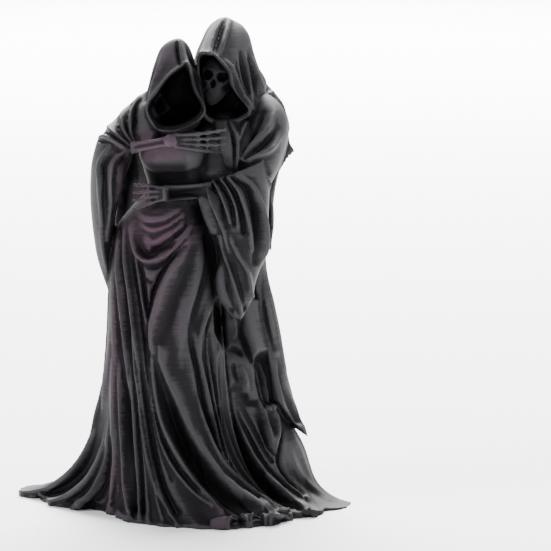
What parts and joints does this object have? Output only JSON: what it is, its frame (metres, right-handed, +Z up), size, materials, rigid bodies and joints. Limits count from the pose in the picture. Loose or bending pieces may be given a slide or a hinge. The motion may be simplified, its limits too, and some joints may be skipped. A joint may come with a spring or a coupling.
{
  "type": "grim reaper figurine",
  "caption": "Two hooded, robed figures in an embrace: a skeletal reaper behind a companion with an empty hood, their robes spreading into one flat-bottomed hem.",
  "frame": {"origin": "centre of the flat underside's box, on the surface that the figurine stands on", "axes": "+Z up, along the figurine's height; -Y to the front, where both figures face; +X to the viewer's right"},
  "size_m": [0.1268, 0.0918, 0.1801],
  "materials": {
    "resin": "dark charcoal printed resin with a soft sheen and fine horizontal layer lines"
  },
  "bodies": {
    "root": {"embracing_figures": "resin"}
  },
  "joints": []
}
